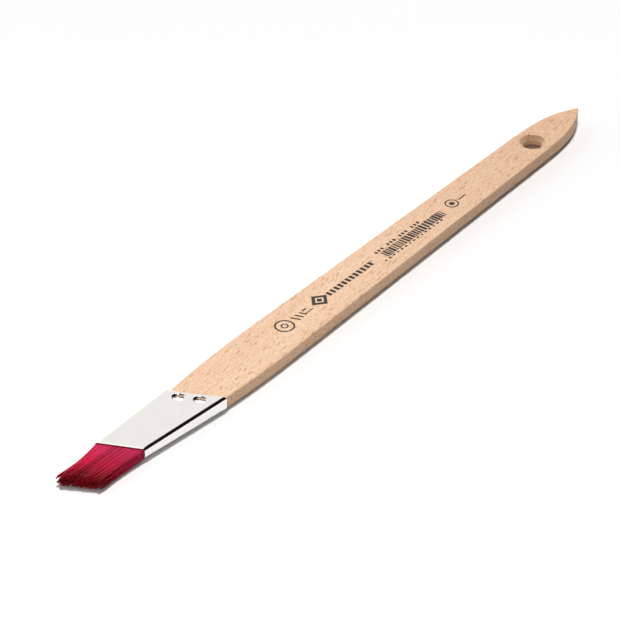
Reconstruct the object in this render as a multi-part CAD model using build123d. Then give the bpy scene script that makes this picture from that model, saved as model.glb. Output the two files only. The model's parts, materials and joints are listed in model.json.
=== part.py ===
from build123d import *
import math
import os

# A slanted flat brush: a pointed wooden board, a skewed sheet-metal ferrule and a block of filaments.
# All sizes are in millimetres. Each piece is drawn with X as its station along the centre line, counted
# from the point of the handle, Y across the brush and Z = 0 on the mid-plane. place() then moves it.

# Handle board
handle_reach = 254.8             # point of the handle to the ferrule's rear edge, on the centre line
handle_thickness = 5.0
board_edge_radius = 0.45         # sanded edges
point_length = 36.0              # length of the curved point
point_half_width = 8.34          # half width where the point's curve ends
point_rise_length = 11.7         # how far the curve leaves the tip in a straight line
point_rise_deg = 30.8            # half the angle of the tip
point_run_out = 21.8             # how softly the curve joins the straight side
point_blunting = 0.6             # radius of the tip
flare_setback = 75.8             # straight sides end this far behind the ferrule
flare_half_width = 10.88
belly_setback = 37.8             # widest place, measured back from the ferrule
belly_half_width = 11.42
shoulder_slope = -0.1            # how fast each side draws in where the board enters the ferrule
hole_station = 32.0
hole_radius = 3.75
hole_countersink_radius = 5.4
tang_length = 20.0               # how far the wood goes into the ferrule
tang_fit = 0.05                  # clearance between the tang and the sheet
tang_step = 0.1                  # how much each broad face of the tang is planed down

# Ferrule, a sleeve of thin sheet
ferrule_length = 42.6            # on the centre line
ferrule_mouth_thickness = 4.64
ferrule_rear_left = 11.14        # the four corners' distances from the centre line
ferrule_rear_right = 10.91
ferrule_mouth_left = 11.49
ferrule_mouth_right = 6.42
ferrule_wall = 0.32
ferrule_stand_off = 0.21         # play between the board's broad faces and the sheet, at the rear edge
ferrule_side_play = 0.8          # mean play at the board's two edges
ferrule_corner_radius = 1.25
rear_slant_deg = 23.7            # the rear edge leans this far from square
mouth_slant_deg = 23.0
seam_width = 0.2
seam_depth = 0.12

# Dents that lock the ferrule to the wood, two on each broad face
dent_spacing = 8.3
dent_inset = 3.8                 # from the rear edge to the dents' centres
dent_rim = (5.7, 4.6)            # opening, along and across the rear edge
dent_floor = (3.9, 2.3)
dent_depth = 0.8

# Filling of the ferrule
tang_to_resin_gap = 1.0
resin_length = 9.0
resin_base = 3.0                 # solid resin behind the filament ends
resin_film = 0.2                 # resin, or play, between the filaments and the sheet
strip_thickness = 0.9
strip_side_margin = 2.2
strip_mouth_setback = 4.0

# Free tuft
tuft_free_length = 25.4          # from the mouth, on the centre line
tuft_draw_left = 0.4             # how far each side draws in from the mouth to the end
tuft_draw_right = 0.7
tuft_end_thickness = 4.7
tuft_slant_deg = 27.0
tuft_clearance = 0.3             # running gap round the bending line

# Derived widths
shoulder_half_width = (ferrule_rear_left + ferrule_rear_right) / 2 - ferrule_wall - ferrule_side_play
tuft_root_left = ferrule_mouth_left - ferrule_wall - resin_film
tuft_root_right = ferrule_mouth_right - ferrule_wall - resin_film
tuft_end_left = tuft_root_left - tuft_draw_left
tuft_end_right = tuft_root_right - tuft_draw_right

# Derived stations
mouth_station = handle_reach + ferrule_length
tip_station = mouth_station + tuft_free_length
rear_slope = math.tan(math.radians(rear_slant_deg))
mouth_slope = math.tan(math.radians(mouth_slant_deg))
tuft_slope = math.tan(math.radians(tuft_slant_deg))
overall_length = tip_station + tuft_slope * tuft_end_left

# Derived thicknesses
ferrule_rear_thickness = handle_thickness + 2 * (ferrule_stand_off + ferrule_wall)
mouth_inner_half = ferrule_mouth_thickness / 2 - ferrule_wall
tuft_root_radius = mouth_inner_half
hinge_ahead = tuft_root_radius + tuft_clearance
hinge_station = mouth_station + hinge_ahead / math.cos(math.radians(mouth_slant_deg))

# Derived stations inside the ferrule
tang_end = handle_reach + tang_length
resin_start = tang_end + tang_to_resin_gap
resin_end = resin_start + resin_length
roots_start = resin_start + resin_base
strip_end = mouth_station - strip_mouth_setback

FAR = 60.0                       # larger than any width or thickness here


def place(piece, blunt_end):
    """Move a piece from stations to the brush's own frame, centred between its two ends."""
    return Pos(-(blunt_end + overall_length) / 2, 0, ferrule_rear_thickness / 2) * piece


def slant_line(station, slope, y):
    """Station of a slanted cut at side position y; the long side is at negative y."""
    return station - slope * y


def between(rear, rear_slant, front, front_slant):
    """Everything between two slanted cuts through the brush."""
    outline = Polyline(
        (slant_line(rear, rear_slant, -FAR), -FAR),
        (slant_line(front, front_slant, -FAR), -FAR),
        (slant_line(front, front_slant, FAR), FAR),
        (slant_line(rear, rear_slant, FAR), FAR),
        close=True,
    )
    return extrude(make_face(outline), FAR, both=True)


def across(profile):
    """Run a profile drawn in (distance ahead of the mouth, height) along the mouth's slanted direction."""
    angle = mouth_slant_deg
    side_on = Plane((mouth_station, 0, 0), x_dir=Vector(1, 0, 0).rotate(Axis.Z, angle),
                    z_dir=Vector(0, -1, 0).rotate(Axis.Z, angle))
    return extrude(side_on * profile, FAR, both=True)


# ---------------------------------------------------------------- handle

def board():
    """The whole flat board, straight through the ferrule's rear edge."""
    flare = (handle_reach - flare_setback, flare_half_width)
    straight = Vector(flare) - Vector(point_length, point_half_width)
    side_slope = straight.Y / straight.X
    rise = math.radians(point_rise_deg)
    sharp_tip = point_blunting * (1 - 1 / math.sin(rise))
    run_out = (sharp_tip + point_rise_length * math.cos(rise), point_rise_length * math.sin(rise))
    run_in = (point_length - point_run_out, point_half_width - point_run_out * side_slope)
    point = Bezier((sharp_tip, 0), run_out, run_in, (point_length, point_half_width))
    side = Line(point @ 1, flare)
    belly = Spline(flare, (handle_reach - belly_setback, belly_half_width),
                   (handle_reach, shoulder_half_width), tangents=[(1, side_slope), (1, shoulder_slope)])
    tang_side = (tang_end, shoulder_half_width + shoulder_slope * tang_length)
    tang_edge = Line(belly @ 1, tang_side)
    end = Line(tang_side, (tang_end, 0))
    half = Curve() + [point, side, belly, tang_edge, end]
    outline = half + mirror(half, Plane.XZ)
    face = make_face(outline.edges())
    tip = face.vertices().sort_by(Axis.X)[0]
    face = fillet(tip, point_blunting)
    slab = extrude(face, handle_thickness / 2, both=True)
    rims = slab.faces().filter_by(Axis.Z).edges()
    end_edges = [edge for edge in rims if edge.center().X > tang_end - 1e-3]
    return fillet([edge for edge in rims if edge not in end_edges], board_edge_radius)


def handle():
    """The board, cut to a tang that fits the ferrule, with its countersunk hanging hole."""
    whole = board()
    bare = whole & between(-FAR, 0, handle_reach, rear_slope)
    overlap = 1.0
    tang_room = between(handle_reach - overlap, rear_slope, tang_end, rear_slope)
    planed = Box(4 * overall_length, 2 * FAR, handle_thickness - 2 * tang_step)
    tang = whole & sleeve(ferrule_wall + tang_fit) & tang_room & planed
    part = bare + tang
    for face_up in (1, -1):
        for dent in dents(ferrule_wall, face_up):
            part -= dent
    countersink = hole_countersink_radius - hole_radius
    part -= Pos(hole_station, 0, 0) * Cylinder(hole_radius, handle_thickness * 2)
    for face_up in (1, -1):
        cone = Cone(hole_radius, hole_countersink_radius, countersink)
        cone = Pos(0, 0, handle_thickness / 2 - countersink / 2) * cone
        if face_up < 0:
            cone = mirror(cone, Plane.XY)
        part -= Pos(hole_station, 0, 0) * cone
    return part


# ---------------------------------------------------------------- ferrule

def wedge(inset):
    """Upper and lower limits of the ferrule, thinner towards the mouth."""
    longest = ferrule_length + (rear_slope - mouth_slope) * ferrule_rear_right
    run = longest * math.cos(math.radians(mouth_slant_deg))
    rear = ferrule_rear_thickness / 2 - inset
    mouth = ferrule_mouth_thickness / 2 - inset
    rise = (rear - mouth) / run
    back, ahead = run + 10, 10
    outline = Polyline(
        (-back, -(mouth + rise * back)), (ahead, -(mouth - rise * ahead)),
        (ahead, mouth - rise * ahead), (-back, mouth + rise * back), close=True,
    )
    return across(make_face(outline))


def sleeve_plan(inset):
    """The ferrule's outline seen from above, set in from its sides and run on past both ends."""
    reach = 12.0

    def side(rear_y, mouth_y):
        rear_x = slant_line(handle_reach, rear_slope, rear_y)
        mouth_x = slant_line(mouth_station, mouth_slope, mouth_y)
        run = (mouth_y - rear_y) / (mouth_x - rear_x)
        inward = -math.copysign(inset, rear_y)
        return [(x, rear_y + run * (x - rear_x) + inward) for x in (rear_x - reach, mouth_x + reach)]

    long_side = side(-ferrule_rear_left, -ferrule_mouth_left)
    short_side = side(ferrule_rear_right, ferrule_mouth_right)
    outline = Polyline(*long_side, *reversed(short_side), close=True)
    return extrude(make_face(outline), FAR, both=True)


def sleeve(inset):
    """The inside of the ferrule, or with no inset its outside, run on past both ends."""
    body = sleeve_plan(inset) & wedge(inset)
    corners = [edge for edge in body.edges() if edge.length > ferrule_length]
    return fillet(corners, max(ferrule_corner_radius - inset, 0.2))


def dents(grow, face_up):
    """The two hollows of one broad face; grow adds the sheet's thickness around them."""
    surface = ferrule_rear_thickness / 2
    rim_height = surface + 0.2
    floor_height = surface - dent_depth - grow
    row = Pos(handle_reach + dent_inset / math.cos(math.radians(rear_slant_deg)), 0, 0) * Rot(0, 0, rear_slant_deg)
    solids = []
    for side in (-1, 1):
        rim = Plane.XY.offset(rim_height) * Ellipse(dent_rim[1] / 2 + grow, dent_rim[0] / 2 + grow)
        floor = Plane.XY.offset(floor_height) * Ellipse(dent_floor[1] / 2 + grow, dent_floor[0] / 2 + grow)
        hollow = row * Pos(0, side * dent_spacing / 2, 0) * loft([floor, rim])
        solids.append(hollow if face_up > 0 else mirror(hollow, Plane.XY))
    return solids


def ferrule():
    """The sheet sleeve with its four dents and the butt seam underneath."""
    length = between(handle_reach, rear_slope, mouth_station, mouth_slope)
    outside = sleeve(0)
    shell = (outside - sleeve(ferrule_wall)) & length
    for face_up in (1, -1):
        for dent in dents(ferrule_wall, face_up):
            shell += dent & outside
        for dent in dents(0, face_up):
            shell -= dent
    seam = Box(4 * ferrule_length, seam_width, FAR, align=(Align.CENTER, Align.CENTER, Align.MAX))
    return shell - (Pos(handle_reach, 0, 0) * seam - sleeve(seam_depth))


# ---------------------------------------------------------------- filling of the ferrule

def half_space(face_up):
    """Everything above or below the mid-plane."""
    side = Align.MIN if face_up > 0 else Align.MAX
    return Box(4 * overall_length, 2 * FAR, FAR, align=(Align.CENTER, Align.CENTER, side))


def bending_line(radius):
    """A round bar along the line that the free filaments bend about."""
    return across(Pos(hinge_ahead, 0) * Circle(radius))


def spacer_strip():
    """The thin strip that parts the bundle into two halves."""
    plan = sleeve_plan(ferrule_wall + strip_side_margin)
    length = between(roots_start, rear_slope, strip_end, mouth_slope)
    return plan & length & Box(4 * overall_length, 2 * FAR, strip_thickness)


def filament_roots(face_up):
    """One half of the bundle inside the ferrule, hollowed at the front where the free part turns."""
    bundle = sleeve(ferrule_wall + resin_film) & between(roots_start, rear_slope, hinge_station, mouth_slope)
    return (bundle & half_space(face_up)) - bending_line(tuft_root_radius + tuft_clearance) - spacer_strip()


def resin_set():
    """The poured block round the filaments' ends."""
    block = sleeve(ferrule_wall) & between(resin_start, rear_slope, resin_end, mouth_slope)
    return block - spacer_strip() - filament_roots(1) - filament_roots(-1)


# ---------------------------------------------------------------- free tuft

def tuft(face_up):
    """One half of the free filaments: a slanted block with a round root."""
    reach = tuft_free_length * math.cos(math.radians(mouth_slant_deg))
    growth = (tuft_end_thickness / 2 - tuft_root_radius) / (reach - hinge_ahead)
    ahead = reach + 10
    end_half = tuft_root_radius + growth * (ahead - hinge_ahead)
    block = Polyline((hinge_ahead, -tuft_root_radius), (ahead, -end_half), (ahead, end_half),
                     (hinge_ahead, tuft_root_radius), close=True)
    side_on = across(make_face(block)) + bending_line(tuft_root_radius)
    outline = Polyline(
        (slant_line(mouth_station, mouth_slope, -tuft_root_left), -tuft_root_left),
        (slant_line(tip_station, tuft_slope, -tuft_end_left), -tuft_end_left),
        (slant_line(tip_station, tuft_slope, tuft_end_right), tuft_end_right),
        (slant_line(mouth_station, mouth_slope, tuft_root_right), tuft_root_right), close=True,
    )
    return side_on & extrude(make_face(outline), FAR, both=True) & half_space(face_up)


pieces = {
    "handle": handle(),
    "ferrule": ferrule(),
    "resin_set": resin_set(),
    "spacer_strip": spacer_strip(),
    "filament_roots_upper": filament_roots(1),
    "filament_roots_lower": filament_roots(-1),
    "tuft_upper": tuft(1),
    "tuft_lower": tuft(-1),
}

blunt_end = pieces["handle"].bounding_box().min.X
os.makedirs("parts", exist_ok=True)
for name, piece in pieces.items():
    export_step(place(piece, blunt_end), "parts/" + name + ".step")
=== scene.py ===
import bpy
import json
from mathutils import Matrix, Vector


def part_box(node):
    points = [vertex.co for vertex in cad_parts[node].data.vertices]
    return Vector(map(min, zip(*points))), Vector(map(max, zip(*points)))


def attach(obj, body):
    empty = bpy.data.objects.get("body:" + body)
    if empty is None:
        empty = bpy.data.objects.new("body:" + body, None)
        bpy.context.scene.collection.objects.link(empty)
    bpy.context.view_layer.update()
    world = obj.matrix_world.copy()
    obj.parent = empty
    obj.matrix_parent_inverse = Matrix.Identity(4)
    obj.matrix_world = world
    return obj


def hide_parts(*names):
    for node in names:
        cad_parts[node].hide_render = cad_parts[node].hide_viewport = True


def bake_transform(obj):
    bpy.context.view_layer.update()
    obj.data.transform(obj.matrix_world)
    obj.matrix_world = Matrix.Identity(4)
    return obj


bl_info = {
    "name": "Slanted Flat Brush",
    "version": (1, 0, 0),
    "blender": (4, 5, 0),
    "location": "3D View > Sidebar > Brush",
    "description": "Builds the looks of a slanted flat brush round its packed model",
    "category": "Object",
}

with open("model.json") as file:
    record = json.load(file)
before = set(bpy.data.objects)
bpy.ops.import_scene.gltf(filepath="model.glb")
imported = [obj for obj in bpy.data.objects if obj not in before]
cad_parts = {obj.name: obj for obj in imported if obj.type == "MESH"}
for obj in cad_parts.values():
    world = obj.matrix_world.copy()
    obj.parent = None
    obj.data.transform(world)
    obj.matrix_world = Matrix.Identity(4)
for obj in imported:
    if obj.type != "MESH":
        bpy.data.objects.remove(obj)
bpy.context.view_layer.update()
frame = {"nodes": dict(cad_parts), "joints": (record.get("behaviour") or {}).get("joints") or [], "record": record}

import json
import math
import random

import bmesh
import bpy
from mathutils import Matrix, Vector

# ---------------------------------------------------------------- where things are, in metres

MM = 0.001
DEG = math.pi / 180
handle_low, handle_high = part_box("handle")
ferrule_low, ferrule_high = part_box("ferrule")
roots_low, roots_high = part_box("filament_roots_upper")
strip_low, strip_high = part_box("spacer_strip")
hinge = frame["joints"][0]
mid_height = hinge["pos_m"][2]
mouth_slope = abs(hinge["axis"][0] / hinge["axis"][1])
hanging_hole = next(m for m in frame["record"]["mounts"] if m["name"] == "hanging_hole")


def smooth(low, high, value):
    """0 below low, 1 above high, and an easy curve between."""
    t = min(1.0, max(0.0, (value - low) / (high - low)))
    return t * t * (3 - 2 * t)


def mix(a, b, share):
    return a + (b - a) * share


def length_value(name, description, millimetres):
    """A length that a user can change, given in millimetres."""
    return bpy.props.FloatProperty(
        name=name, description=description, subtype="DISTANCE", unit="LENGTH", precision=5,
        default=millimetres * MM)


def angle_value(name, description, degrees):
    return bpy.props.FloatProperty(
        name=name, description=description, subtype="ANGLE", unit="ROTATION", default=degrees * DEG)


def colour_value(name, description, default):
    return bpy.props.FloatVectorProperty(
        name=name, description=description, subtype="COLOR", min=0, max=1, default=default)


# ---------------------------------------------------------------- what a user would change

class BeechSettings(bpy.types.PropertyGroup):
    """The raw wood of the handle."""
    pale: colour_value("Pale wood", "Colour between the grain lines", (0.83, 0.58, 0.395))
    warm: colour_value("Warm wood", "Colour of the darker growth bands", (0.73, 0.445, 0.262))
    fleck: colour_value("Fleck", "Colour of the short darker flecks", (0.53, 0.22, 0.092))
    # Painted shade: a darker wood colour towards the handle's point stands in for the light falling off along the
    # board.
    point_shade: colour_value("Point shade", "Colour towards the point, painted shade where the light falls off", (0.66, 0.41, 0.25))
    shine: colour_value("Shine", "Colour of the pale flecks between them", (0.97, 0.78, 0.60))
    fleck_length: length_value("Fleck length", "Cell that holds one fleck, along the grain", 4.4)
    fleck_width: length_value("Fleck width", "Cell that holds one fleck, across the grain", 0.8)
    lean: angle_value("Grain lean", "Turn of the grain from the board's length", 9)
    speck: length_value("Pin knot", "Radius of the one pin knot", 0.42)


class FerruleSettings(bpy.types.PropertyGroup):
    """The plated sheet sleeve."""
    plate: colour_value("Plating", "Colour of the bright nickel plate", (0.92, 0.895, 0.855))
    cut_edge: colour_value("Cut edge", "Colour of the sheet's cut edges", (0.62, 0.47, 0.25))
    wall: length_value("Sheet", "Thickness of the sheet", 0.32)
    corner: length_value("Corner radius", "Outside radius of the four long corners", 1.25)
    length: length_value("Length", "Length along the brush's centre line", 42.6)
    rear_slant: angle_value("Rear slant", "How far the rear edge leans from square", 23.7)
    mouth_thickness: length_value("Mouth thickness", "Outside thickness at the mouth", 4.64)
    mouth_long: length_value("Mouth, long side", "Centre line to the mouth's forward corner", 11.49)
    mouth_short: length_value("Mouth, short side", "Centre line to the mouth's other corner", 6.42)
    lip_flare: length_value("Lip flare", "How far the mouth's lip stands out", 0.13)
    lip_length: length_value("Lip length", "Length of the flared lip", 0.8)
    dent_inset: length_value("Dent inset", "From the rear edge to the dents' centres", 3.8)
    dent_spacing: length_value("Dent spacing", "Between the two dents of a face", 8.3)
    dent_long: length_value("Dent length", "Opening of a dent along the rear edge", 5.7)
    dent_wide: length_value("Dent width", "Opening of a dent across the rear edge", 4.6)
    floor_long: length_value("Dent floor length", "Floor of a dent along the rear edge", 4.7)
    floor_wide: length_value("Dent floor width", "Floor of a dent across the rear edge", 3.7)
    dent_depth: length_value("Dent depth", "Depth of a dent's floor on the rear edge's side", 0.8)
    floor_rise: length_value("Floor rise", "How far a dent's floor rises towards the mouth", 0.5)
    edge_draw: length_value("Edge draw", "How far the rear edge is drawn down to the wood", 0.28)
    edge_roll: length_value("Edge roll", "How far the sheared rear edge is rounded over", 0.08)
    seam_width: length_value("Seam width", "Width of the butt seam underneath", 0.2)
    seam_depth: length_value("Seam depth", "Depth of the butt seam underneath", 0.12)


class FilamentSettings(bpy.types.PropertyGroup):
    """The block of synthetic filaments."""
    # Root colour is partly painted sheen: its paler, pinker tone stands in for the gloss the filaments catch near
    # the ferrule, over their own crimson.
    root: colour_value("Root colour", "Colour near the ferrule", (0.94, 0.042, 0.175))
    middle: colour_value("Middle colour", "Colour half-way along", (0.86, 0.015, 0.095))
    tip: colour_value("Tip colour", "Colour of the ends", (0.44, 0.004, 0.020))
    diameter: length_value("Filament", "Diameter of one filament", 0.18)
    columns: bpy.props.IntProperty(
        name="Columns", description="Filaments side by side across the brush", default=84, min=4)
    rows: bpy.props.IntProperty(
        name="Rows", description="Filaments above each other in each half", default=12, min=2)
    end_thickness: length_value("End thickness", "Thickness of the block at its loose end", 4.6)
    free_length: length_value("Free length", "Mouth to tips on the centre line", 25.4)
    long_draw: length_value("Long side draw", "How far the long side draws in", 0.35)
    short_draw: length_value("Short side draw", "How far the short side draws in", 0.75)
    long_waist: length_value("Long side waist", "How far the long side bows in half-way along", 1.2)
    short_waist: length_value("Short side waist", "The same on the short side", 0.4)
    corner_cut: length_value("Corner cut", "How much shorter the forward corner's filaments are", 1.1)
    end_slant: angle_value("End slant", "How far the trimmed end leans from square", 27)
    raggedness: length_value("Raggedness", "Spread of the filaments' lengths", 0.45)
    clump: length_value("Clump", "Width of a group of filaments that lean together", 1.1)
    clumping: bpy.props.FloatProperty(
        name="Clumping", description="How much a group draws together at its tips", default=0.6, min=0, max=1)
    seed: bpy.props.IntProperty(name="Seed", description="Start of the random draws", default=7)


class MarkSettings(bpy.types.PropertyGroup):
    """The plain printed marks."""
    ink: colour_value("Ink", "Colour of the stamped marks", (0.026, 0.018, 0.015))
    height: length_value("Ink height", "How far the ink stands above the wood", 0.012)
    lean: angle_value("Lean", "Turn of the printed line from the board's length", 0.9)


class StageSettings(bpy.types.PropertyGroup):
    """Floor, light and camera."""
    elevation: angle_value("Camera elevation", "Above the floor", 33.7)
    heading: angle_value("Camera heading", "Turn about the vertical, from +X towards +Y", 36.44)
    distance: length_value("Camera distance", "From the point looked at", 2310)
    lens: bpy.props.FloatProperty(name="Lens", description="Focal length in millimetres", default=348.4)
    look_station: length_value("Look station", "Point looked at, from the point of the handle", 183.1)
    look_side: length_value("Look side", "Point looked at, from the centre line", 0.44)
    floor: colour_value("Floor", "Colour of the floor", (0.93, 0.93, 0.93))
    key_elevation: angle_value("Key elevation", "Height of the key light", 72)
    key_size: angle_value("Key size", "Width of the key light as seen from the brush", 9)
    key_strength: bpy.props.FloatProperty(name="Key strength", description="Sun strength", default=2.72)
    wall_top: angle_value("Wall top", "Height of the bright surroundings", 43)
    wall_level: bpy.props.FloatProperty(
        name="Wall level", description="Brightness of the surroundings beyond the brush", default=0.93)
    near_level: bpy.props.FloatProperty(
        name="Near level", description="Brightness of the surroundings on the camera's side", default=0.2)
    horizon_level: bpy.props.FloatProperty(
        name="Horizon level", description="How much brighter the surroundings are low down", default=1.25)
    fill_power: bpy.props.FloatProperty(
        name="Fill power", description="Power of the soft lamp on the camera's side, in watts", default=0.36)


# ---------------------------------------------------------------- materials

class Nodes:
    """Short ways to place and join shader nodes."""

    def __init__(self, tree):
        self.tree = tree

    def add(self, kind, **values):
        node = self.tree.nodes.new(kind)
        for key, value in values.items():
            setattr(node, key, value)
        return node

    def link(self, source, target):
        self.tree.links.new(source, target)

    def put(self, value, socket):
        """Join or set one input."""
        if isinstance(value, bpy.types.NodeSocket):
            self.link(value, socket)
        elif isinstance(value, (int, float)):
            socket.default_value = value
        elif len(value) < len(socket.default_value):
            socket.default_value = (*value, 1)
        else:
            socket.default_value = value

    def math(self, operation, *values):
        node = self.add("ShaderNodeMath", operation=operation)
        for socket, value in zip(node.inputs, values):
            self.put(value, socket)
        return node.outputs[0]

    def vector(self, operation, *values):
        node = self.add("ShaderNodeVectorMath", operation=operation)
        for socket, value in zip(node.inputs, values):
            self.put(value, socket)
        return node.outputs["Value" if operation in ("LENGTH", "DOT_PRODUCT") else "Vector"]

    def mix(self, share, a, b, blend="MIX"):
        node = self.add("ShaderNodeMix", data_type="RGBA", blend_type=blend)
        for index, value in ((0, share), (6, a), (7, b)):
            self.put(value, node.inputs[index])
        return node.outputs[2]

    def step(self, value, low, high, from_level=0.0, to_level=1.0):
        """An easy step of a value from one level to another."""
        node = self.add("ShaderNodeMapRange", interpolation_type="SMOOTHSTEP")
        for index, number in enumerate((value, low, high, from_level, to_level)):
            self.put(number, node.inputs[index])
        return node.outputs[0]

    def cells(self, length, width, lean=0.0):
        """Object coordinates counted in cells that are long along the brush."""
        place = self.add("ShaderNodeTexCoord")
        node = self.add("ShaderNodeMapping", vector_type="TEXTURE")
        node.inputs["Rotation"].default_value = (0, 0, lean)
        node.inputs["Scale"].default_value = (length, width, width)
        self.link(place.outputs["Object"], node.inputs["Vector"])
        return node.outputs[0]

    def noise(self, vector, detail=2.0, roughness=0.5, distortion=0.0):
        node = self.add("ShaderNodeTexNoise")
        node.inputs["Scale"].default_value = 1.0
        node.inputs["Detail"].default_value = detail
        node.inputs["Roughness"].default_value = roughness
        node.inputs["Distortion"].default_value = distortion
        self.link(vector, node.inputs["Vector"])
        return node.outputs["Fac"]


def new_material(name):
    """A material, its nodes and its Principled shader."""
    material = bpy.data.materials.new(name)
    material.use_nodes = True
    return material, Nodes(material.node_tree), material.node_tree.nodes["Principled BSDF"]


def relief(n, shader, height, distance):
    """A bump from a height of 0 to 1 that stands for a depth in metres."""
    bump = n.add("ShaderNodeBump")
    bump.inputs["Distance"].default_value = distance
    n.link(height, bump.inputs["Height"])
    n.link(bump.outputs[0], shader.inputs["Normal"])


def effect_group(name, sockets, build):
    """A shader node group that is built once; sockets are its named inputs with their values."""
    if name in bpy.data.node_groups:
        return bpy.data.node_groups[name]
    group = bpy.data.node_groups.new(name, "ShaderNodeTree")
    for label, value in sockets:
        group.interface.new_socket(label, in_out="INPUT", socket_type="NodeSocketFloat").default_value = value
    group.interface.new_socket("Mask", in_out="OUTPUT", socket_type="NodeSocketFloat")
    n = Nodes(group)
    given = n.add("NodeGroupInput")
    out = n.add("NodeGroupOutput")
    n.link(build(n, given), out.inputs["Mask"])
    return group


def use_group(n, group, **values):
    """Place a group with its inputs set, and give its mask."""
    node = n.add("ShaderNodeGroup", node_tree=group)
    for label, value in values.items():
        node.inputs[label].default_value = value
    return node.outputs["Mask"]


def build_unevenness(n, given):
    """Soft patches from one noise."""
    place = n.add("ShaderNodeTexCoord")
    noise = n.add("ShaderNodeTexNoise")
    noise.inputs["Detail"].default_value = 3
    n.link(place.outputs["Object"], noise.inputs["Vector"])
    n.link(given.outputs["Scale"], noise.inputs["Scale"])
    return n.step(noise.outputs["Fac"], 0.32, 0.68)


def unevenness(n, size):
    """A slow mask that keeps a finish from looking flat; size is its patches' width in metres."""
    group = effect_group("Unevenness", (("Scale", 100.0),), build_unevenness)
    return use_group(n, group, Scale=1 / size)


def build_flecks(n, given):
    """One lens-shaped mark in some of the cells of a stretched cell pattern, all along the grain."""
    place = n.add("ShaderNodeTexCoord")
    turned = n.add("ShaderNodeVectorRotate", rotation_type="Z_AXIS")
    n.link(place.outputs["Object"], turned.inputs["Vector"])
    n.link(n.math("MULTIPLY", given.outputs["Lean"], -1.0), turned.inputs["Angle"])
    size = n.add("ShaderNodeCombineXYZ")
    n.link(given.outputs["Length"], size.inputs[0])
    n.link(given.outputs["Width"], size.inputs[1])
    n.link(given.outputs["Width"], size.inputs[2])
    cells = n.add("ShaderNodeTexVoronoi", feature="F1", voronoi_dimensions="3D")
    cells.inputs["Scale"].default_value = 1.0
    n.link(n.vector("DIVIDE", turned.outputs[0], size.outputs[0]), cells.inputs["Vector"])
    split = n.add("ShaderNodeSeparateColor")
    n.link(cells.outputs["Color"], split.inputs[0])
    reach = n.math("MULTIPLY_ADD", split.outputs[2], 0.2, 0.3)
    inside = n.math("SUBTRACT", 1.0, n.step(n.math("DIVIDE", cells.outputs["Distance"], reach), 0.45, 1.0))
    chosen = n.math("LESS_THAN", split.outputs[0], given.outputs["Share"])
    strength = n.math("MULTIPLY", n.math("MULTIPLY_ADD", split.outputs[1], 0.7, 0.3), chosen)
    return n.math("MULTIPLY", inside, strength)


def flecks(n, length, width, share, lean):
    """A mask of flecks; share is the part of the cells that hold one."""
    sockets = (("Length", 0.003), ("Width", 0.001), ("Share", 0.5), ("Lean", 0.0))
    group = effect_group("Flecks", sockets, build_flecks)
    return use_group(n, group, Length=length, Width=width, Share=share, Lean=lean)


def torn_ring(n):
    """A mask of torn fibres round the hanging hole's countersink, where the cutter met end grain."""
    x, y, z = hanging_hole["pos_m"]
    inner = hanging_hole["dims"]["r_mm"] * MM
    place = n.add("ShaderNodeTexCoord").outputs["Object"]
    flat = n.vector("MULTIPLY", n.vector("SUBTRACT", place, (x, y, z)), (1, 1, 0))
    away = n.vector("LENGTH", flat)
    outside = n.step(away, inner, inner * 1.08)
    ring = n.math("MULTIPLY", outside, n.step(away, inner * 1.36, inner * 1.5, 1, 0))
    heading = n.vector("DOT_PRODUCT", n.vector("NORMALIZE", flat), (-0.95, -0.3, 0))
    toward_point = n.step(heading, 0.35, 0.8)
    torn = n.step(n.noise(n.cells(0.7 * MM, 0.35 * MM), 3, 0.7), 0.48, 0.56)
    return n.math("MULTIPLY", n.math("MULTIPLY", ring, toward_point), torn)


def pin_knot(n, centre, radius):
    """A small dark spot at one place on the board."""
    place = n.add("ShaderNodeTexCoord").outputs["Object"]
    away = n.vector("LENGTH", n.vector("SUBTRACT", place, centre))
    return n.step(away, radius * 0.35, radius, 1, 0)


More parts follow.
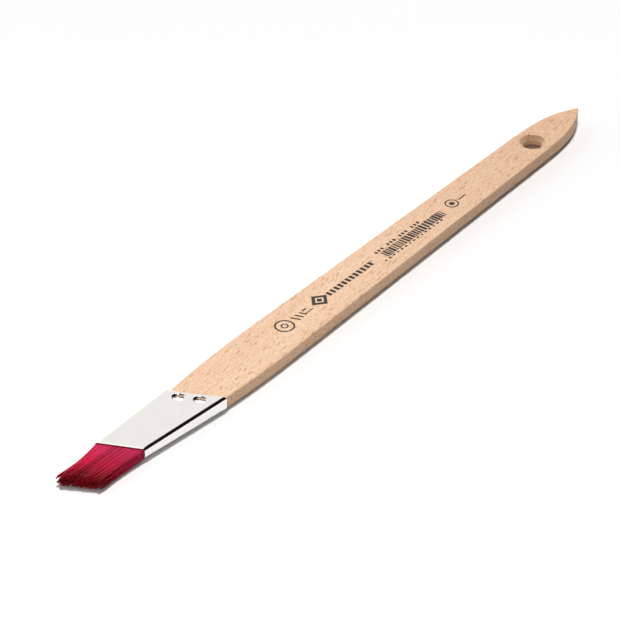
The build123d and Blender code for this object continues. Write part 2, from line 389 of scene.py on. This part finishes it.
def beech_material(s):
    """Raw beech: soft bands along the board, fine pores, short flecks of two kinds, and painted shade towards the
    point.
    """
    material, n, shader = new_material("raw_beech")
    point_shade_reach = 190 * MM
    knot_place = (handle_low.x + 218.8 * MM, -8.1 * MM, handle_high.z)
    bands = n.step(n.noise(n.cells(70 * MM, 2.2 * MM, s.lean * 0.15), 3, 0.55, 0.3), 0.36, 0.66)
    broad = n.step(n.noise(n.cells(60 * MM, 11 * MM), 2), 0.35, 0.65)
    pores = n.step(n.noise(n.cells(2.2 * MM, 0.28 * MM, s.lean), 2, 0.6), 0.45, 0.75)
    dark = flecks(n, s.fleck_length, s.fleck_width, 0.6, s.lean)
    small = flecks(n, s.fleck_length * 0.55, s.fleck_width * 0.6, 0.7, s.lean)
    light = flecks(n, s.fleck_length * 0.45, s.fleck_width * 0.5, 0.7, -s.lean * 0.6)
    along = n.add("ShaderNodeSeparateXYZ")
    n.link(n.add("ShaderNodeTexCoord").outputs["Object"], along.inputs[0])
    # Painted shade: the wood darkens over the last 190 mm towards the point, where the light falls off.
    point_shade = n.step(along.outputs[0], handle_low.x, handle_low.x + point_shade_reach, 1, 0)
    torn = torn_ring(n)
    knot = pin_knot(n, knot_place, s.speck)
    colour = n.mix(n.math("MULTIPLY", bands, 0.4), s.pale, s.warm)
    colour = n.mix(n.math("MULTIPLY", broad, 0.25), colour, s.warm)
    colour = n.mix(n.math("MULTIPLY", point_shade, 0.7), colour, s.point_shade)
    colour = n.mix(n.math("MULTIPLY", pores, 0.6), colour, s.warm)
    colour = n.mix(n.math("MULTIPLY", light, 0.7), colour, s.shine)
    colour = n.mix(n.math("MULTIPLY", small, 0.75), colour, s.fleck)
    colour = n.mix(n.math("MULTIPLY", dark, 0.8), colour, s.fleck)
    colour = n.mix(n.math("MULTIPLY", torn, 0.8), colour, (0.36, 0.15, 0.06))
    colour = n.mix(n.math("MULTIPLY", knot, 0.8), colour, (0.16, 0.11, 0.07))
    n.link(colour, shader.inputs["Base Color"])
    n.link(n.step(pores, 0, 1, 0.52, 0.7), shader.inputs["Roughness"])
    shader.inputs["Specular IOR Level"].default_value = 0.3
    height = n.math("MULTIPLY_ADD", torn, 2.0, n.math("MULTIPLY", n.math("ADD", pores, dark), -0.5))
    relief(n, shader, height, 0.04 * MM)
    return material


def plate_material(s):
    """Bright nickel plate with faint rolling lines and uneven polish."""
    material, n, shader = new_material("nickel_plate")
    lines = n.noise(n.cells(18 * MM, 1.1 * MM), 2)
    uneven = unevenness(n, 6 * MM)
    duller = [channel * 0.9 for channel in s.plate]
    n.link(n.mix(n.math("MULTIPLY", uneven, 0.1), s.plate, duller), shader.inputs["Base Color"])
    n.link(n.step(n.math("ADD", lines, uneven), 0.3, 1.7, 0.06, 0.13), shader.inputs["Roughness"])
    shader.inputs["Metallic"].default_value = 1.0
    relief(n, shader, n.math("MULTIPLY_ADD", lines, 0.5, uneven), 0.002 * MM)
    return material


def cut_edge_material(s):
    """The sheet's sheared edges, where the plating is thin."""
    material, n, shader = new_material("sheared_edge")
    darker = [channel * 0.6 for channel in s.cut_edge]
    n.link(n.mix(unevenness(n, 1.5 * MM), s.cut_edge, darker), shader.inputs["Base Color"])
    n.link(n.step(unevenness(n, 0.7 * MM), 0, 1, 0.3, 0.5), shader.inputs["Roughness"])
    shader.inputs["Metallic"].default_value = 1.0
    return material


def filament_material(s):
    """Crimson synthetic filaments: each its own shade, paler and pinker at the root, partly a painted sheen, and
    darker at the cut end.
    """
    material, n, shader = new_material("crimson_filament")
    along = n.add("ShaderNodeAttribute", attribute_name="along").outputs["Fac"]
    shade = n.add("ShaderNodeAttribute", attribute_name="shade").outputs["Fac"]
    # The root end's paler, pinker colour is partly a painted sheen near the ferrule.
    colour = n.mix(n.step(along, 0.0, 0.55), s.root, s.middle)
    colour = n.mix(n.step(along, 0.5, 0.97), colour, s.tip)
    darker = n.mix(1.0, colour, (0.45, 0.4, 0.4), "MULTIPLY")
    n.link(n.mix(n.step(shade, 0.05, 0.9), darker, colour), shader.inputs["Base Color"])
    n.link(n.step(shade, 0, 1, 0.4, 0.55), shader.inputs["Roughness"])
    shader.inputs["Specular IOR Level"].default_value = 0.2
    return material


def ink_material(s):
    """Stamped ink, thinner where the grain lifts it."""
    material, n, shader = new_material("stamped_ink")
    worn = n.step(n.noise(n.cells(1.2 * MM, 0.3 * MM), 2), 0.5, 0.75)
    n.link(n.mix(n.math("MULTIPLY", worn, 0.3), s.ink, (0.22, 0.13, 0.08)), shader.inputs["Base Color"])
    shader.inputs["Roughness"].default_value = 0.75
    relief(n, shader, worn, 0.01 * MM)
    return material


def resin_material():
    """Cast amber resin."""
    material, n, shader = new_material("cast_resin")
    deep, pale = (0.55, 0.36, 0.12), (0.68, 0.50, 0.22)
    n.link(n.mix(unevenness(n, 2.5 * MM), deep, pale), shader.inputs["Base Color"])
    shader.inputs["Roughness"].default_value = 0.22
    relief(n, shader, unevenness(n, 1.1 * MM), 0.05 * MM)
    return material


def strip_material():
    """Pressed board strip."""
    material, n, shader = new_material("pressed_strip")
    fibres = n.noise(n.cells(4 * MM, 0.5 * MM), 3)
    n.link(n.mix(fibres, (0.52, 0.42, 0.30), (0.66, 0.57, 0.43)), shader.inputs["Base Color"])
    shader.inputs["Roughness"].default_value = 0.8
    relief(n, shader, fibres, 0.03 * MM)
    return material


def floor_material(colour):
    """Pale studio floor."""
    material, n, shader = new_material("studio_floor")
    darker = [channel * 0.995 for channel in colour]
    n.link(n.mix(unevenness(n, 300 * MM), colour, darker), shader.inputs["Base Color"])
    shader.inputs["Roughness"].default_value = 0.9
    shader.inputs["Specular IOR Level"].default_value = 0.1
    return material


def coat(node, material):
    """Give a CAD node its material."""
    mesh = frame["nodes"][node].data
    mesh.materials.clear()
    mesh.materials.append(material)


def make_piece(name, bm, materials):
    """Turn a bmesh into an object at the origin."""
    mesh = bpy.data.meshes.new(name)
    bm.to_mesh(mesh)
    bm.free()
    for material in materials:
        mesh.materials.append(material)
    piece = bpy.data.objects.new(name, mesh)
    bpy.context.scene.collection.objects.link(piece)
    return piece


# ---------------------------------------------------------------- the ferrule

class Sleeve:
    """The ferrule's shape as a bending rule for a plain straight box.

    The box runs from u = 0 at the rear to 1 at the mouth, is 2 * half_width wide and as thick as the
    ferrule's rear. Every point keeps its place on the rounded corners. The sheet sinks by rim_sink round
    a dent, is drawn down over draw_reach at its rear edge, and is rounded over in the last roll_reach.
    """
    half_width = 10 * MM
    rim_sink = 0.03 * MM
    draw_reach = 0.6 * MM
    roll_reach = 0.25 * MM

    def __init__(self, s):
        self.s = s
        self.rear_slope = math.tan(s.rear_slant)
        self.rear_middle = ferrule_low.x + ferrule_high.y * self.rear_slope
        self.mouth_middle = self.rear_middle + s.length
        self.longest = s.length + (self.rear_slope - mouth_slope) * ferrule_high.y
        self.half_rear = ferrule_high.z - mid_height
        self.half_mouth = s.mouth_thickness / 2
        self.flat_width = self.half_width - s.corner
        self.flat_height = self.half_rear - s.corner
        self.row = Vector((self.rear_middle + s.dent_inset / math.cos(s.rear_slant), 0))
        self.along_row = Vector((-math.sin(s.rear_slant), math.cos(s.rear_slant)))
        self.from_rear = Vector((math.cos(s.rear_slant), math.sin(s.rear_slant)))

    def reach(self, y, u):
        """Centre line to the side that y lies on."""
        if y < 0:
            return mix(-ferrule_low.y, self.s.mouth_long, u)
        return mix(ferrule_high.y, self.s.mouth_short, u)

    def dent(self, x, y):
        """How deep the broad face is pressed in at a place."""
        s = self.s
        depth = 0.0
        here = Vector((x, y)) - self.row
        for side in (-1, 1):
            a = here.dot(self.along_row) - side * s.dent_spacing / 2
            b = here.dot(self.from_rear)
            rim = math.hypot(a / s.dent_long, b / s.dent_wide) * 2
            floor = math.hypot(a / s.floor_long, b / s.floor_wide) * 2
            share = 1.0 if floor <= 1 else 0.0 if rim >= 1 else (1 - rim) / ((floor - 1) + (1 - rim))
            rise = s.floor_rise * min(1, max(0, b / s.floor_wide + 0.5))
            depth += (s.dent_depth - rise) * smooth(0, 1, share)
            depth += self.rim_sink * (1 - smooth(0.9, 1.5, rim))
        edge = here.dot(self.from_rear) + s.dent_inset
        middle = 1 - smooth(5 * MM, 9 * MM, abs(here.dot(self.along_row)))
        depth += s.edge_draw * middle * (1 - smooth(0, self.draw_reach, edge))
        return depth + s.edge_roll * (1 - smooth(0, self.roll_reach, edge))

    def bend(self, u, y, z):
        """Where a point of the straight box goes."""
        s = self.s
        corner_y = max(0.0, abs(y) - self.flat_width) / s.corner
        corner_z = max(0.0, abs(z) - self.flat_height) / s.corner
        flat = self.reach(y, u) - s.corner
        new_y = math.copysign(min(abs(y) / self.flat_width, 1) * flat + corner_y * s.corner, y)
        new_x = mix(self.rear_middle - self.rear_slope * new_y, self.mouth_middle - mouth_slope * new_y, u)
        behind = self.mouth_middle - mouth_slope * new_y - new_x
        half = self.half_mouth + (self.half_rear - self.half_mouth) * behind / self.longest
        up = min(abs(z) / self.flat_height, 1) * (half - s.corner) + corner_z * s.corner
        if corner_y == 0:
            up -= self.dent(new_x, new_y)
        if z < 0:
            up -= s.seam_depth * (1 - smooth(0.25 * s.seam_width, 0.5 * s.seam_width, abs(new_y)))
        up += s.lip_flare * max(0.0, 1 - behind / s.lip_length) * min(corner_z, 1)
        return new_x, new_y, mid_height + math.copysign(up, z)


def even_steps(start, end, size):
    """Evenly spaced values from start to end, about size apart."""
    count = max(1, round((end - start) / size))
    return [mix(start, end, i / count) for i in range(1, count + 1)]


def build_ferrule(s):
    """A straight box tube, cut into a fine net, then bent into the slanted, tapering sleeve."""
    rule = Sleeve(s)
    bm = bmesh.new()
    bmesh.ops.create_cube(bm, size=1)
    bmesh.ops.translate(bm, verts=bm.verts, vec=(0.5, 0, 0))
    bmesh.ops.scale(bm, verts=bm.verts, vec=(1, 2 * rule.half_width, 2 * rule.half_rear))
    ends = [f for f in bm.faces if abs(f.normal.x) > 0.5]
    bmesh.ops.delete(bm, geom=ends, context="FACES_ONLY")
    long_edges = [e for e in bm.edges if abs(e.verts[0].co.x - e.verts[1].co.x) > 0.5]
    bmesh.ops.bevel(
        bm, geom=long_edges, offset=s.corner, segments=7, profile=0.5, affect="EDGES", material=-1)
    rolled_end, dents_end, lip_start = 0.3 * MM, 7.2 * MM, s.length - s.lip_length
    finest, fine, coarse = 0.05 * MM, 0.15 * MM, 2 * MM
    cuts = even_steps(0, rolled_end, finest)
    cuts += even_steps(rolled_end, dents_end, fine)
    cuts += even_steps(dents_end, lip_start, coarse)
    cuts += even_steps(lip_start, s.length, s.lip_length / 6)[:-1]
    planes = [((x / s.length, 0, 0), (1, 0, 0)) for x in cuts]
    dents_reach = (s.dent_spacing + s.dent_long) / 2 + 0.8 * MM
    across = even_steps(-dents_reach, dents_reach, fine)
    across += [share * s.seam_width for share in (-0.5, -0.25, 0.25, 0.5)]
    planes += [((0, y, 0), (0, 1, 0)) for y in across]
    for point, normal in planes:
        whole = bm.verts[:] + bm.edges[:] + bm.faces[:]
        bmesh.ops.bisect_plane(bm, geom=whole, dist=1e-7, plane_co=point, plane_no=normal)
    bmesh.ops.remove_doubles(bm, verts=bm.verts, dist=1e-6)
    for vert in bm.verts:
        vert.co = rule.bend(*vert.co)
    bmesh.ops.recalc_face_normals(bm, faces=bm.faces)
    for face in bm.faces:
        face.smooth = True
    return bm


# ---------------------------------------------------------------- the filaments

class Bundle:
    """Where every filament of one half runs; face_up is 1 for the upper half and -1 for the lower.

    Groups lean and end unevenly by the group values, single filaments by their own, and a few stray.
    """
    group_drift, group_shortfall = 0.16 * MM, 0.45 * MM
    own_drift, own_lift, own_bow = 0.07 * MM, 0.06 * MM, 0.05 * MM
    stray_share = 0.05
    stray_drift, stray_lift, stray_shortfall = 0.45 * MM, 0.3 * MM, 1.2 * MM

    def __init__(self, s, sleeve, face_up):
        self.s = s
        self.face_up = face_up
        radius = s.diameter / 2
        inside = sleeve.s.wall + 0.05 * MM + radius
        self.mouth_middle = sleeve.mouth_middle
        self.long_side = sleeve.s.mouth_long - inside
        self.short_side = sleeve.s.mouth_short - inside
        self.mouth_half = sleeve.half_mouth - inside
        self.rear_slope = sleeve.rear_slope
        self.root_middle = roots_low.x + roots_high.y * sleeve.rear_slope
        self.root_half = roots_high.z - mid_height - radius
        self.strip_half = (strip_high.z - strip_low.z) / 2 + radius
        self.random = random.Random(s.seed + face_up)
        self.groups = [
            (self.random.uniform(-1, 1), self.random.uniform(0, 1), self.random.gauss(0, self.group_drift),
             self.random.gauss(0, self.group_shortfall), self.random.gauss(0.5, 0.25))
            for _ in range(round((self.long_side + self.short_side) / s.clump) * 4)
        ]
        self.strands = [self.strand(i) for i in range(s.columns * s.rows)]

    def across(self, share):
        """Sideways place at the mouth, for -1 at the long side to 1 at the short side."""
        return mix(-self.long_side, self.short_side, (share + 1) / 2)

    def strand(self, index):
        """The random draws of one filament: its place at the mouth, its tip and its shade."""
        s, draw = self.s, self.random
        row, column = divmod(index, s.columns)
        level = min(1, max(0, (row + 0.5 + draw.uniform(-0.3, 0.3)) / s.rows))
        side = -1 + 2 * (column + 0.25 + 0.5 * (row % 2) + draw.uniform(-0.3, 0.3)) / s.columns
        side = min(1, max(-1, side))
        width = self.long_side + self.short_side

        def gap(group):
            return math.hypot((group[0] - side) * width / 2, (group[1] - level) * s.end_thickness / 2)

        group = min(self.groups, key=gap)
        pull = s.clumping * draw.uniform(0.6, 1.1)
        drift = Vector((0, (group[0] - side) * width / 2, (group[1] - level) * s.end_thickness / 2)) * pull
        drift += Vector((0, group[2] + draw.gauss(0, self.own_drift), draw.gauss(0, self.own_lift)))
        short = abs(draw.gauss(0, s.raggedness)) + abs(group[3]) + s.corner_cut * smooth(-0.7, -1, side)
        if draw.random() < self.stray_share:
            drift += Vector((0, draw.gauss(0, self.stray_drift), draw.gauss(0, self.stray_lift)))
            short += draw.uniform(0, self.stray_shortfall)
        shade = min(1, max(0, 0.55 * group[4] + 0.45 * draw.random()))
        bow = draw.gauss(0, self.own_bow)
        return side, level, drift, short, shade, bow

    def tip_x(self, y, short):
        """How far forward a filament ends on the slanted trim."""
        return self.mouth_middle + self.s.free_length - y * math.tan(self.s.end_slant) - short

    def path(self, strand, t):
        """A point of a filament: t runs from -1 at its root through 0 at the mouth to 1 at its tip."""
        s = self.s
        side, level, drift, short, _, bow = strand
        y = self.across(side)
        mouth_x = self.mouth_middle - mouth_slope * y
        if t <= 0:
            root_x = self.root_middle - self.rear_slope * y
            up = mix(self.strip_half, self.root_half, level)
            settle = smooth(0.35, 1.0, 1 + t)
            up = mix(up, self.mouth_half * level, settle)
            return Vector((mix(root_x, mouth_x, 1 + t), y, self.face_up * up))
        end_y = y + mix(s.long_draw, 0, min(1, (side + 1) / 1.2)) - s.short_draw * smooth(-0.2, 1, side)
        end_y += drift.y
        travel = self.tip_x(end_y, short) - mouth_x
        ease = t ** 1.7
        free = t * travel
        relax = smooth(0, 4 * MM, free)
        half = mix(self.mouth_half, s.end_thickness / 2 - s.diameter / 2, 0.55 * relax + 0.45 * t)
        waist = -s.short_waist if side > 0 else s.long_waist
        new_y = mix(y, end_y, ease) + (bow + waist * abs(side) ** 3) * math.sin(math.pi * t)
        up = half * level + drift.z * ease
        return Vector((mouth_x + free, new_y, self.face_up * up))


def build_filaments(s, sleeve, face_up):
    """One half of the bundle: a single prism is extruded, copied, and each copy laid along its path."""
    bundle = Bundle(s, sleeve, face_up)
    levels = (-1, -0.35, 0, 0.1, 0.2, 0.31, 0.43, 0.57, 0.72, 0.87, 1)
    bm = bmesh.new()
    strand_layer = bm.verts.layers.int.new("strand")
    level_layer = bm.verts.layers.int.new("level")
    bmesh.ops.create_circle(bm, cap_ends=True, segments=5, radius=1)
    end = bm.faces[:]
    for level in range(1, len(levels)):
        grown = bmesh.ops.extrude_face_region(bm, geom=end, use_keep_orig=level == 1)
        for item in grown["geom"]:
            if isinstance(item, bmesh.types.BMVert):
                item[level_layer] = level
                item.co.z = level
        last = end
        end = [item for item in grown["geom"] if isinstance(item, bmesh.types.BMFace)]
        if level > 1:
            bmesh.ops.delete(bm, geom=[f for f in last if f.is_valid], context="FACES_ONLY")
    bmesh.ops.recalc_face_normals(bm, faces=bm.faces)
    wanted, made = len(bundle.strands), 1
    while made < wanted:
        copied = min(made, wanted - made)
        chosen = [v for v in bm.verts if v[strand_layer] < copied]
        chosen += [e for e in bm.edges if e.verts[0][strand_layer] < copied]
        chosen += [f for f in bm.faces if f.verts[0][strand_layer] < copied]
        new = bmesh.ops.duplicate(bm, geom=chosen)
        for item in new["geom"]:
            if isinstance(item, bmesh.types.BMVert):
                item[strand_layer] += made
        made += copied
    along_layer = bm.verts.layers.float.new("along")
    shade_layer = bm.verts.layers.float.new("shade")
    radius = s.diameter / 2
    for vert in bm.verts:
        strand = bundle.strands[vert[strand_layer]]
        t = levels[vert[level_layer]]
        centre = bundle.path(strand, t)
        lead = (bundle.path(strand, min(1, t + 0.02)) - bundle.path(strand, max(-1, t - 0.02))).normalized()
        sideways = Vector((0, 0, 1)).cross(lead).normalized()
        size = radius * (1 - 0.35 * smooth(0.75, 1, t))
        offset = sideways * vert.co.x + lead.cross(sideways) * vert.co.y
        vert[along_layer] = max(0, t)
        vert[shade_layer] = strand[4]
        vert.co = centre + offset * size + Vector((0, 0, mid_height))
    bmesh.ops.recalc_face_normals(bm, faces=bm.faces)
    for face in bm.faces:
        face.smooth = len(face.verts) == 4
    bm.verts.layers.int.remove(bm.verts.layers.int["strand"])
    bm.verts.layers.int.remove(bm.verts.layers.int["level"])
    return bm


# ---------------------------------------------------------------- the printed marks

class Stamp:
    """Plain shapes of ink on the board's upper face, placed by station and distance to the long side."""
    line_station, line_side = 197.7 * MM, 0.8 * MM

    def __init__(self, s):
        self.bm = bmesh.new()
        self.height = s.height
        self.origin = Matrix.Translation((handle_low.x, 0, handle_high.z))
        self.lean = math.tan(s.lean)

    def middle(self, station):
        """The printed line, which leans a little from the board's length."""
        return self.line_side - (self.line_station - station) * self.lean

    def spot(self, station, rise, turn=0.0):
        """A place on the board; rise is measured from the printed line towards the long side."""
        along, side = station * MM, self.middle(station * MM) + rise * MM
        return self.origin @ Matrix.Translation((along, -side, 0)) @ Matrix.Rotation(turn, 4, "Z")

    def bar(self, station, rise, length, width, turn=0.0):
        size = Matrix.Diagonal((length * MM, width * MM, 2 * self.height, 1))
        bmesh.ops.create_cube(self.bm, size=1, matrix=self.spot(station, rise, turn) @ size)

    def dot(self, station, rise, radius, segments=24):
        bmesh.ops.create_cone(
            self.bm, cap_ends=True, segments=segments, radius1=radius * MM, radius2=radius * MM,
            depth=2 * self.height, matrix=self.spot(station, rise))

    def ring(self, station, rise, radius, width, segments=48, turn=0.0, stretch=1.0):
        """A closed band, round or, with four segments, a lozenge."""
        place = self.spot(station, rise, turn) @ Matrix.Diagonal((stretch, 1, 1, 1))
        low = place @ Matrix.Translation((0, 0, -self.height))
        edges = []
        for reach in (radius, radius - width):
            loop = bmesh.ops.create_circle(self.bm, segments=segments, radius=reach * MM, matrix=low)
            edges += list({e for v in loop["verts"] for e in v.link_edges})
        band = bmesh.ops.bridge_loops(self.bm, edges=edges)["faces"]
        grown = bmesh.ops.extrude_face_region(self.bm, geom=band, use_keep_orig=True)["geom"]
        top = [item for item in grown if isinstance(item, bmesh.types.BMVert)]
        bmesh.ops.translate(self.bm, verts=top, vec=(0, 0, 2 * self.height))


def build_marks(s):
    """Rings, lozenges and bars that stand where a maker's print would be, with no lettering."""
    stamp = Stamp(s)
    large_ring, lozenge, small_ring = 197.8, 175.4, 88.7
    bars_start, bars_end = 134.6, 96.5
    stamp.ring(large_ring, 0, 4.1, 0.75)
    stamp.ring(large_ring, 0, 1.6, 0.6)
    for step in range(3):
        stamp.bar(191.2 - 2.3 * step, -0.2, 0.8, 4.2 - 0.5 * step, turn=18 * DEG)
    stamp.bar(184.4, 0.9, 2.6, 0.7)
    stamp.bar(183.8, -1.2, 4.8, 0.5)
    stamp.ring(lozenge, 0.3, 4.0, 1.8, segments=4, stretch=1.15)
    stamp.dot(lozenge, 0.3, 1.4, segments=4)
    for step in range(12):
        stamp.bar(169.6 - 2.42 * step, 0, 1.5, 2.7)
    stamp.bar(141.3, 1.1, 0.8, 0.6)
    draw = random.Random(3)
    station = bars_start
    while station > bars_end:
        gauge = draw.uniform(0.5, 1.5)
        station -= gauge / 2
        stamp.bar(station, -0.6, gauge, draw.uniform(3.8, 4.4))
        station -= gauge / 2 + draw.uniform(0.25, 0.65)
    for step in range(16):
        if step % 4 != 3:
            stamp.bar(135.4 - 1.95 * step, 2.9, 1.1, 1.5)
    for step in range(15):
        stamp.bar(137.4 - 2.6 * step, -3.5, 1.3 if step % 3 else 0.9, 0.9)
    stamp.ring(small_ring, 0.45, 2.9, 0.6)
    stamp.dot(small_ring, 0.45, 1.2)
    stamp.bar(82.5, 0.1, 4.6, 0.6)
    bmesh.ops.recalc_face_normals(stamp.bm, faces=stamp.bm.faces)
    return stamp.bm


# ---------------------------------------------------------------- the stage

def studio_world(s):
    """Bright surroundings up to a height, with a dark panel to the camera's right; pale behind the brush."""
    world = bpy.data.worlds.new("studio")
    world.use_nodes = True
    n = Nodes(world.node_tree)
    background = world.node_tree.nodes["Background"]
    place = n.add("ShaderNodeTexCoord").outputs["Generated"]
    height = n.vector("DOT_PRODUCT", place, (0, 0, 1))
    right = n.vector("DOT_PRODUCT", place, (-math.sin(s.heading), math.cos(s.heading), 0))
    near = n.vector("DOT_PRODUCT", place, (math.cos(s.heading), math.sin(s.heading), 0))
    top = math.sin(s.wall_top)
    wall = n.step(height, top - 0.03, top + 0.03, 1, 0)
    open_side = n.step(right, 0.3, 0.55, 1, 0)
    level = n.step(near, -0.2, 0.4, s.wall_level, s.near_level)
    low = n.step(height, 0.35, 0.54, 1.0, 1 / s.horizon_level)
    light = n.math("MULTIPLY", n.math("MULTIPLY", wall, open_side), n.math("MULTIPLY", level, low))
    seen = n.add("ShaderNodeLightPath").outputs["Is Camera Ray"]
    dark = (0.012, 0.007, 0.003)
    around = n.mix(light, dark, (s.horizon_level,) * 3)
    n.link(n.mix(seen, around, (1, 1, 1)), background.inputs["Color"])
    bpy.context.scene.world = world


def key_light(s):
    """The main light, from high beyond the brush."""
    data = bpy.data.lights.new("key", "SUN")
    data.energy = s.key_strength
    data.angle = s.key_size
    lamp = bpy.data.objects.new("key", data)
    toward = Vector((-math.cos(s.heading), -math.sin(s.heading), math.tan(s.key_elevation)))
    lamp.location = toward.normalized()
    lamp.rotation_euler = toward.to_track_quat("Z", "Y").to_euler()
    bpy.context.scene.collection.objects.link(lamp)


def fill_light(s):
    """A soft lamp on the camera's side near the ferrule, which fades along the handle."""
    width, away, height = 0.3, 0.45, 50 * DEG
    data = bpy.data.lights.new("fill", "AREA")
    data.shape = "DISK"
    data.size = width
    data.energy = s.fill_power
    lamp = bpy.data.objects.new("fill", data)
    lamp.visible_glossy = False
    toward = Vector((math.cos(s.heading), math.sin(s.heading), math.tan(height))).normalized()
    lamp.location = Vector((ferrule_low.x, 0, 0)) + toward * away
    lamp.rotation_euler = toward.to_track_quat("Z", "Y").to_euler()
    bpy.context.scene.collection.objects.link(lamp)


def studio_camera(s):
    """A long lens that looks down along the brush from the filaments' end."""
    data = bpy.data.cameras.new("camera")
    data.sensor_width = 36
    data.lens = s.lens
    data.clip_start = 0.05
    data.clip_end = 50
    camera = bpy.data.objects.new("camera", data)
    back = Vector((
        math.cos(s.heading) * math.cos(s.elevation), math.sin(s.heading) * math.cos(s.elevation),
        math.sin(s.elevation)))
    look = Vector((handle_low.x + s.look_station, s.look_side, handle_high.z))
    camera.location = look + back * s.distance
    camera.rotation_euler = back.to_track_quat("Z", "Y").to_euler()
    bpy.context.scene.collection.objects.link(camera)
    bpy.context.scene.camera = camera


def studio_floor(s):
    """A wide flat floor that the brush lies on."""
    bm = bmesh.new()
    bmesh.ops.create_grid(bm, x_segments=1, y_segments=1, size=6)
    make_piece("studio_floor", bm, [floor_material(s.floor)])


# ---------------------------------------------------------------- operators

class BRUSH_OT_handle(bpy.types.Operator):
    """Finish the wooden handle"""
    bl_idname = "brush.handle"
    bl_label = "Handle"

    def execute(self, context):
        coat("handle", beech_material(context.scene.brush_beech))
        return {"FINISHED"}


class BRUSH_OT_filling(bpy.types.Operator):
    """Finish the resin and the spacer strip inside the ferrule"""
    bl_idname = "brush.filling"
    bl_label = "Filling"

    def execute(self, context):
        coat("resin_set", resin_material())
        coat("spacer_strip", strip_material())
        return {"FINISHED"}


class BRUSH_OT_ferrule(bpy.types.Operator):
    """Build the plated sheet sleeve with its dents, seam and flared lip"""
    bl_idname = "brush.ferrule"
    bl_label = "Ferrule"

    def execute(self, context):
        s = context.scene.brush_ferrule
        piece = make_piece("ferrule_sleeve", build_ferrule(s), [plate_material(s), cut_edge_material(s)])
        sheet = piece.modifiers.new("sheet", "SOLIDIFY")
        sheet.thickness = s.wall
        sheet.offset = -1
        sheet.use_even_offset = True
        sheet.material_offset_rim = 1
        rims = piece.modifiers.new("rims", "BEVEL")
        rims.width = 0.05 * MM
        rims.segments = 2
        rims.limit_method = "ANGLE"
        rims.angle_limit = 55 * DEG
        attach(piece, "brush")
        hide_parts("ferrule")
        return {"FINISHED"}


class BRUSH_OT_filaments(bpy.types.Operator):
    """Build both halves of the filament bundle"""
    bl_idname = "brush.filaments"
    bl_label = "Filaments"

    def execute(self, context):
        s = context.scene.brush_filaments
        sleeve = Sleeve(context.scene.brush_ferrule)
        material = filament_material(s)
        for half, face_up in (("upper", 1), ("lower", -1)):
            piece = make_piece("filaments_" + half, build_filaments(s, sleeve, face_up), [material])
            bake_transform(piece)
            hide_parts("tuft_" + half, "filament_roots_" + half)
        return {"FINISHED"}


class BRUSH_OT_marks(bpy.types.Operator):
    """Stamp the plain marks on the handle"""
    bl_idname = "brush.marks"
    bl_label = "Marks"

    def execute(self, context):
        s = context.scene.brush_marks
        piece = make_piece("stamped_marks", build_marks(s), [ink_material(s)])
        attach(piece, "brush")
        return {"FINISHED"}


class BRUSH_OT_stage(bpy.types.Operator):
    """Set the floor, the light and the camera"""
    bl_idname = "brush.stage"
    bl_label = "Stage"

    def execute(self, context):
        s = context.scene.brush_stage
        for name in ("Cube", "Light", "Camera"):
            if name in bpy.data.objects:
                bpy.data.objects.remove(bpy.data.objects[name])
        studio_floor(s)
        studio_world(s)
        key_light(s)
        fill_light(s)
        studio_camera(s)
        context.scene.view_settings.view_transform = "Standard"
        return {"FINISHED"}


class BRUSH_PT_panel(bpy.types.Panel):
    bl_idname = "BRUSH_PT_panel"
    bl_label = "Slanted Flat Brush"
    bl_space_type = "VIEW_3D"
    bl_region_type = "UI"
    bl_category = "Brush"

    def draw(self, context):
        for operator, (name, _) in zip(STEPS, SETTINGS):
            box = self.layout.box()
            box.operator(operator.bl_idname)
            settings = getattr(context.scene, name)
            for key in settings.bl_rna.properties.keys():
                if key not in ("rna_type", "name"):
                    box.prop(settings, key)
        self.layout.operator(BRUSH_OT_filling.bl_idname)


STEPS = (BRUSH_OT_handle, BRUSH_OT_ferrule, BRUSH_OT_filaments, BRUSH_OT_marks, BRUSH_OT_stage)
SETTINGS = (
    ("brush_beech", BeechSettings), ("brush_ferrule", FerruleSettings),
    ("brush_filaments", FilamentSettings), ("brush_marks", MarkSettings), ("brush_stage", StageSettings))


def register():
    for name, kind in SETTINGS:
        bpy.utils.register_class(kind)
        setattr(bpy.types.Scene, name, bpy.props.PointerProperty(type=kind))
    for kind in (*STEPS, BRUSH_OT_filling, BRUSH_PT_panel):
        bpy.utils.register_class(kind)


def unregister():
    for kind in (BRUSH_PT_panel, BRUSH_OT_filling, *reversed(STEPS)):
        bpy.utils.unregister_class(kind)
    for name, kind in reversed(SETTINGS):
        delattr(bpy.types.Scene, name)
        bpy.utils.unregister_class(kind)


def main():
    register()
    bpy.ops.brush.handle()
    bpy.ops.brush.filling()
    bpy.ops.brush.ferrule()
    bpy.ops.brush.filaments()
    bpy.ops.brush.marks()
    bpy.ops.brush.stage()


if __name__ == "__main__":
    main()
